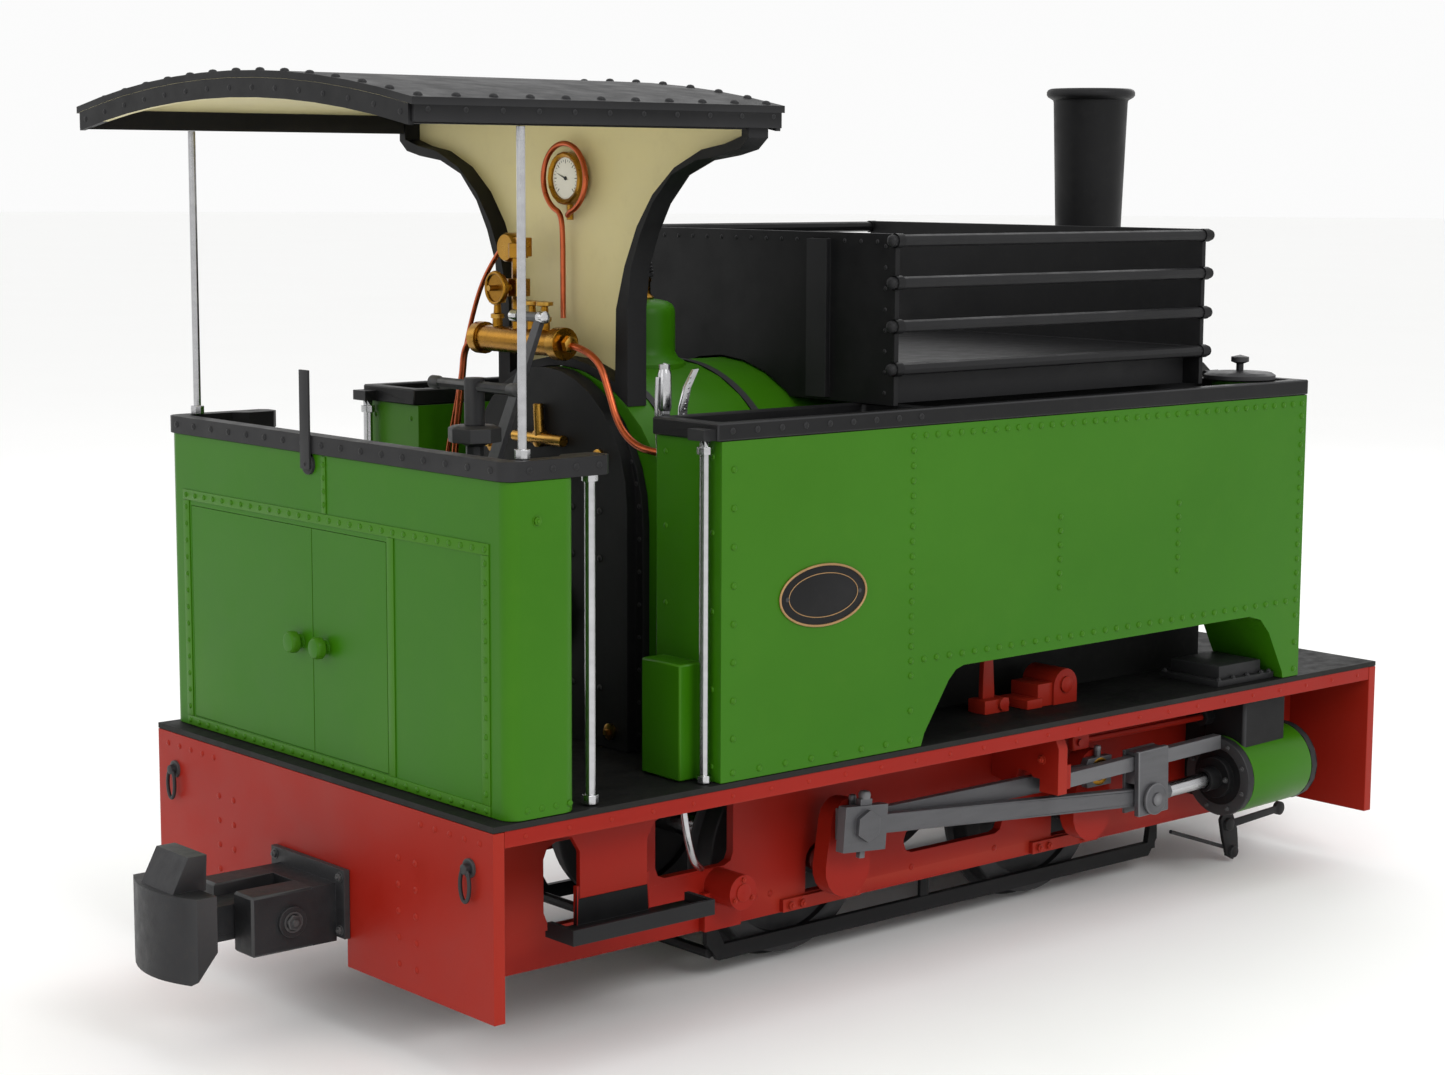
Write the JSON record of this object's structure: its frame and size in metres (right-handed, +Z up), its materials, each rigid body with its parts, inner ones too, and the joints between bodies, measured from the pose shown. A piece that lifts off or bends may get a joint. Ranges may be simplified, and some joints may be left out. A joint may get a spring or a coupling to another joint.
{
  "type": "live steam engine",
  "caption": "Side-tank narrow-gauge live steam locomotive on four coupled wheels, with open cab, fuel rack, outside cylinders, working motion and chopper couplers.",
  "frame": {"origin": "on the rail head plane, midway between the couplers, on the centre line", "axes": "+X forward, +Y left, +Z up"},
  "size_m": [1.2988, 0.47, 0.7272],
  "materials": {
    "green_paint": "gloss enamel",
    "red_paint": "satin enamel",
    "black_paint": "satin black",
    "dark_iron": "satin",
    "bright_steel": "polished",
    "grey_steel": "satin",
    "brass": "polished",
    "cream_paint": "satin"
  },
  "bodies": {
    "engine": {"backhead": "black_paint", "boiler": "green_paint", "brake_rigging": "black_paint", "bunker": "green_paint", "bunker_rail": "black_paint", "chimney": "black_paint", "coupler_housing_front": "dark_iron", "coupler_housing_rear": "dark_iron", "cylinder_left": "black_paint", "cylinder_right": "black_paint", "dome": "green_paint", "footplate": "black_paint", "footstep_left": "red_paint", "footstep_right": "red_paint", "frame_left": "red_paint", "frame_right": "red_paint", "front_beam": "red_paint", "fuel_basket": "black_paint", "handbrake_column": "dark_iron", "motion_bracket_left": "red_paint", "motion_bracket_right": "red_paint", "pressure_gauge": "brass", "rear_beam": "red_paint", "roof": "black_paint", "roof_post_left": "bright_steel", "roof_post_right": "bright_steel", "slide_bar_left": "bright_steel", "slide_bar_right": "bright_steel", "smokebox": "black_paint", "steam_manifold": "brass", "tank_coping_left": "black_paint", "tank_coping_right": "black_paint", "tank_left": "green_paint", "tank_right": "green_paint", "weatherboard": "cream_paint"},
    "rear_wheelset": {"rear_axle": "red_paint", "rear_wheel_right": "dark_iron", "rear_wheel_left": "dark_iron"},
    "front_wheelset": {"front_axle": "red_paint", "front_wheel_right": "dark_iron", "front_wheel_left": "dark_iron"},
    "coupling_rod_right": {"coupling_rod_right": "grey_steel"},
    "coupling_rod_left": {"coupling_rod_left": "grey_steel"},
    "connecting_rod_right": {"connecting_rod_right": "grey_steel"},
    "connecting_rod_left": {"connecting_rod_left": "grey_steel"},
    "crosshead_right": {"crosshead_right": "bright_steel"},
    "crosshead_left": {"crosshead_left": "bright_steel"},
    "valve_spindle_right": {"valve_spindle_right": "red_paint"},
    "valve_spindle_left": {"valve_spindle_left": "red_paint"},
    "bunker_door_left": {"bunker_door_left": "green_paint"},
    "bunker_door_right": {"bunker_door_right": "green_paint"},
    "filler_lid_right": {"filler_lid_right": "dark_iron"},
    "filler_lid_left": {"filler_lid_left": "dark_iron"},
    "firehole_door": {"firehole_door": "dark_iron"},
    "smokebox_door": {"smokebox_door": "black_paint"},
    "regulator_lever": {"regulator_lever": "grey_steel"},
    "handbrake_handle": {"handbrake_handle": "dark_iron"},
    "reverser_lever": {"reverser_lever": "bright_steel"},
    "coupler_head_rear": {"coupler_head_rear": "dark_iron"},
    "coupler_head_front": {"coupler_head_front": "dark_iron"}
  },
  "joints": [
    {"name": "rear_axle_spin", "type": "hinge", "parent": "engine", "child": "rear_wheelset", "pos_m": [-0.11785, 0, 0.09165], "axis": [0, 1, 0], "continuous": true},
    {"name": "front_axle_spin", "type": "hinge", "parent": "engine", "child": "front_wheelset", "pos_m": [0.17707, 0, 0.09165], "axis": [0, 1, 0], "continuous": true},
    {"name": "coupling_rod_right_pin", "type": "hinge", "parent": "rear_wheelset", "child": "coupling_rod_right", "pos_m": [-0.11785, -0.18448, 0.12995], "axis": [0, 1, 0], "continuous": true},
    {"name": "crosshead_right_slide", "type": "slide", "parent": "engine", "child": "crosshead_right", "axis": [0.9996, 0, 0.03], "range_m": [-0.03732, 0.03929]},
    {"name": "gudgeon_pin_right", "type": "hinge", "parent": "crosshead_right", "child": "connecting_rod_right", "pos_m": [0.22599, -0.19646, 0.10197], "axis": [0, 1, 0], "range_deg": [-12.75, 0]},
    {"name": "valve_spindle_right_slide", "type": "slide", "parent": "engine", "child": "valve_spindle_right", "axis": [1, 0, 0], "range_m": [-0.009, 0.009]},
    {"name": "filler_lid_right_hinge", "type": "hinge", "parent": "engine", "child": "filler_lid_right", "pos_m": [0.34345, -0.16379, 0.46986], "axis": [1, 0, 0], "range_deg": [-100, 0]},
    {"name": "coupling_rod_left_pin", "type": "hinge", "parent": "rear_wheelset", "child": "coupling_rod_left", "pos_m": [-0.07955, 0.18448, 0.09165], "axis": [0, 1, 0], "continuous": true},
    {"name": "crosshead_left_slide", "type": "slide", "parent": "engine", "child": "crosshead_left", "axis": [0.9996, 0, 0.03], "range_m": [-0.07659, 0.00002]},
    {"name": "gudgeon_pin_left", "type": "hinge", "parent": "crosshead_left", "child": "connecting_rod_left", "pos_m": [0.26524, 0.19646, 0.10314], "axis": [0, 1, 0], "range_deg": [-6.18, 6.57]},
    {"name": "valve_spindle_left_slide", "type": "slide", "parent": "engine", "child": "valve_spindle_left", "axis": [1, 0, 0], "range_m": [-0.009, 0.009]},
    {"name": "filler_lid_left_hinge", "type": "hinge", "parent": "engine", "child": "filler_lid_left", "pos_m": [0.34345, 0.16379, 0.46986], "axis": [1, 0, 0], "range_deg": [0, 100]},
    {"name": "bunker_door_left_hinge", "type": "hinge", "parent": "engine", "child": "bunker_door_left", "pos_m": [-0.49432, 0.19928, 0.29211], "axis": [0, 0, 1], "range_deg": [-105, 0]},
    {"name": "bunker_door_right_hinge", "type": "hinge", "parent": "engine", "child": "bunker_door_right", "pos_m": [-0.49432, -0.08225, 0.29211], "axis": [0, 0, 1], "range_deg": [0, 105]},
    {"name": "firehole_door_hinge", "type": "hinge", "parent": "engine", "child": "firehole_door", "pos_m": [-0.29044, 0.03995, 0.29492], "axis": [0, 0, 1], "range_deg": [-110, 0]},
    {"name": "smokebox_door_hinge", "type": "hinge", "parent": "engine", "child": "smokebox_door", "pos_m": [0.44154, 0.1175, 0.34921], "axis": [0, 0, 1], "range_deg": [0, 110]},
    {"name": "regulator_pivot", "type": "hinge", "parent": "engine", "child": "regulator_lever", "pos_m": [-0.28635, 0.02985, 0.40773], "axis": [1, 0, 0], "range_deg": [-50, 8]},
    {"name": "handbrake_screw", "type": "hinge", "parent": "engine", "child": "handbrake_handle", "pos_m": [-0.3921, -0.0517, 0.45693], "axis": [0, 0, 1], "range_deg": [0, 720]},
    {"name": "reverser_pivot", "type": "hinge", "parent": "engine", "child": "reverser_lever", "pos_m": [-0.28705, -0.1511, 0.24322], "axis": [0, 1, 0], "range_deg": [-9, 9]},
    {"name": "rear_coupler_pin", "type": "hinge", "parent": "engine", "child": "coupler_head_rear", "pos_m": [-0.55425, 0, 0.09517], "axis": [0, 1, 0], "range_deg": [-8, 8]},
    {"name": "front_coupler_pin", "type": "hinge", "parent": "engine", "child": "coupler_head_front", "pos_m": [0.55425, 0, 0.09517], "axis": [0, 1, 0], "range_deg": [-8, 8]}
  ],
  "couplings": [
    {"joint": "front_axle_spin", "follows": "rear_axle_spin", "ratio": 1},
    {"joint": "coupling_rod_right_pin", "follows": "rear_axle_spin", "ratio": -1},
    {"joint": "coupling_rod_left_pin", "follows": "rear_axle_spin", "ratio": -1}
  ]
}
